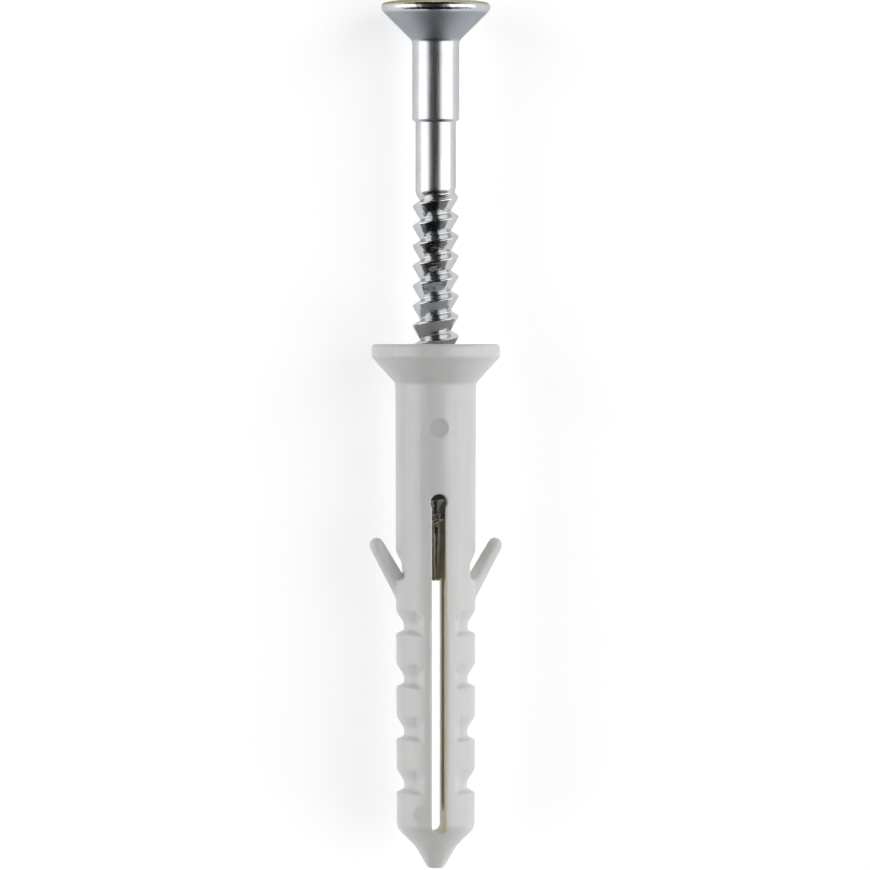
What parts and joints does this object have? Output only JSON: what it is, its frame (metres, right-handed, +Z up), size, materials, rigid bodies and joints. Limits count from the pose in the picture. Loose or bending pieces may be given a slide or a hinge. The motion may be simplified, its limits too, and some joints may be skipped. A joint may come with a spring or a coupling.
{
  "type": "hammer fixing plug",
  "caption": "Nylon expansion plug with a countersunk collar, a split notched body and spring wings, with a barbed nail screw part-driven into it.",
  "frame": {"origin": "middle of the box's underside: the floor that the fixing lies on, under the middle of its length", "axes": "-X along the fixing towards the nail's head, +Z up, Y across it; the slot faces up, rolled 5 degrees towards +Y"},
  "size_m": [0.0664, 0.0102, 0.0098],
  "materials": {
    "grey_nylon": "waxy moulded nylon",
    "zinc_plate": "bright blue-white zinc plate"
  },
  "bodies": {
    "plug": {"expansion_plug": "grey_nylon"},
    "nail": {"nail_screw": "zinc_plate"}
  },
  "joints": [
    {"name": "nail_drive", "type": "slide", "parent": "plug", "child": "nail", "axis": [0.9996, 0, 0.028], "range_m": [0, 0.0256], "deforming": ["expansion_plug"]}
  ]
}
